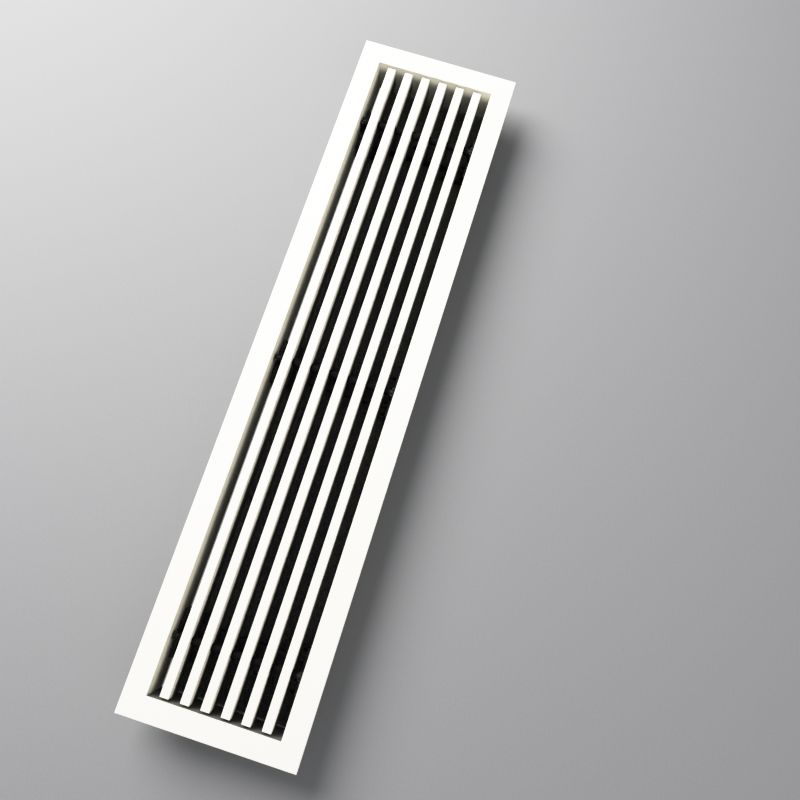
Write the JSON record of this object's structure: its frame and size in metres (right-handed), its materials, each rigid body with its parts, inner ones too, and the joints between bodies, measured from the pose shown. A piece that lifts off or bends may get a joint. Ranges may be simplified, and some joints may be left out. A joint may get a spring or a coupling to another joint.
{
  "type": "louvred air grille",
  "caption": "Slim rectangular air grille with a flat mitred border, straight fixed bars and a core that lifts out of the front.",
  "frame": {"origin": "below the centre of the grille, on the plane of the bridges' undersides that it stands on when it lies face up", "axes": "+X along the grille from its top end to its bottom end, +Y across the bars, +Z out of the face towards the room"},
  "size_m": [0.55, 0.13, 0.036],
  "materials": {
    "white_powder_coat": "satin",
    "key_metal": "matte",
    "screw_steel": "satin",
    "black_plastic": "satin",
    "black_filter": "matte",
    "black_rod": "satin"
  },
  "bodies": {
    "frame": {"frame_rail_left": "white_powder_coat", "frame_rail_right": "white_powder_coat", "frame_rail_top": "white_powder_coat", "frame_rail_bottom": "white_powder_coat", "corner_key_top_left": "key_metal", "corner_key_top_right": "key_metal", "corner_key_bottom_left": "key_metal", "corner_key_bottom_right": "key_metal", "corner_key_screws": "screw_steel", "core_bridge_top": "black_plastic", "core_bridge_middle": "black_plastic", "core_bridge_bottom": "black_plastic", "bridge_screws": "screw_steel", "filter_mat": "black_filter"},
    "core": {"bar_1": "white_powder_coat", "bar_2": "white_powder_coat", "bar_3": "white_powder_coat", "bar_4": "white_powder_coat", "bar_5": "white_powder_coat", "bar_6": "white_powder_coat", "cross_rod_top": "black_rod", "cross_rod_middle": "black_rod", "cross_rod_bottom": "black_rod", "spacers_top": "black_plastic", "spacers_middle": "black_plastic", "spacers_bottom": "black_plastic", "end_collars_top": "black_plastic", "end_collars_middle": "black_plastic", "end_collars_bottom": "black_plastic"}
  },
  "joints": [
    {"name": "core_lift", "type": "slide", "parent": "frame", "child": "core", "axis": [0, 0, 1], "range_m": [0, 0.06]}
  ]
}
